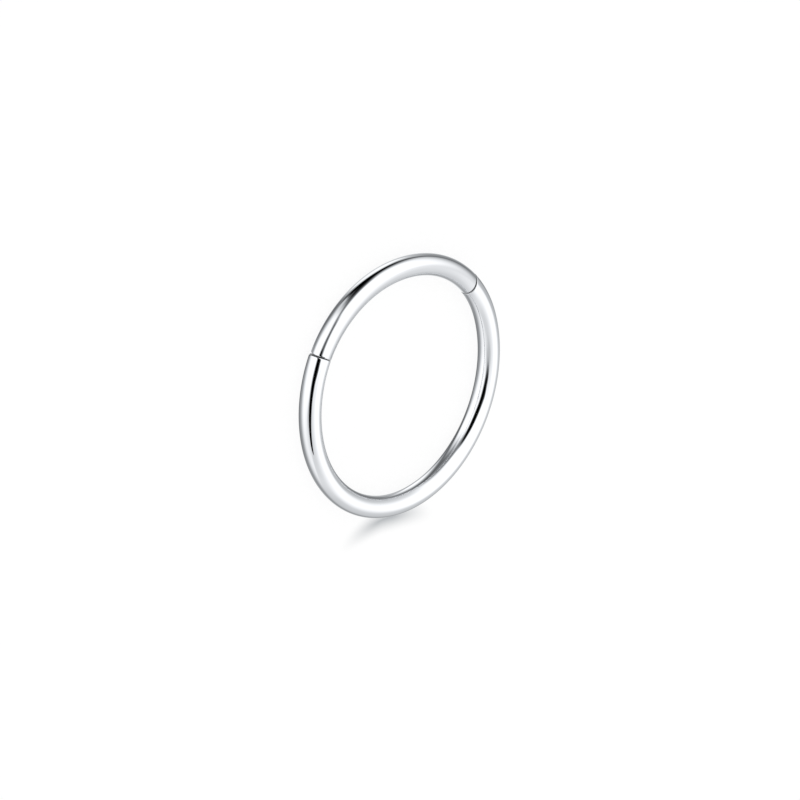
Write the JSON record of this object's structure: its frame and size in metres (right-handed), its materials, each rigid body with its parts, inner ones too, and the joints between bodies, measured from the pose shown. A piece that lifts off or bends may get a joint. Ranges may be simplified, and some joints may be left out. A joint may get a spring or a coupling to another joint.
{
  "type": "hinged segment ring",
  "caption": "Polished steel piercing ring of round wire, with a segment that swings outward on a small pin hinge and clicks shut.",
  "frame": {"origin": "under the middle of the bounding box, on the plane that the ring lies on", "axes": "+Z along the ring's axis, +Y from the middle of the ring towards the middle of the hinged segment, +X towards the hinge's side"},
  "size_m": [0.0148, 0.0144, 0.0012],
  "materials": {
    "body_steel": "mirror-polished surgical steel",
    "segment_steel": "mirror-polished surgical steel",
    "pin_steel": "polished steel pin, end ground flush"
  },
  "bodies": {
    "ring_body": {"ring_body": "body_steel"},
    "segment": {"hinged_segment": "segment_steel", "hinge_pin": "pin_steel"}
  },
  "joints": [
    {"name": "segment_hinge", "type": "hinge", "parent": "ring_body", "child": "segment", "pos_m": [0.00522, 0.00464, 0.0006], "axis": [0, 0, -1], "range_deg": [0, 90]}
  ]
}
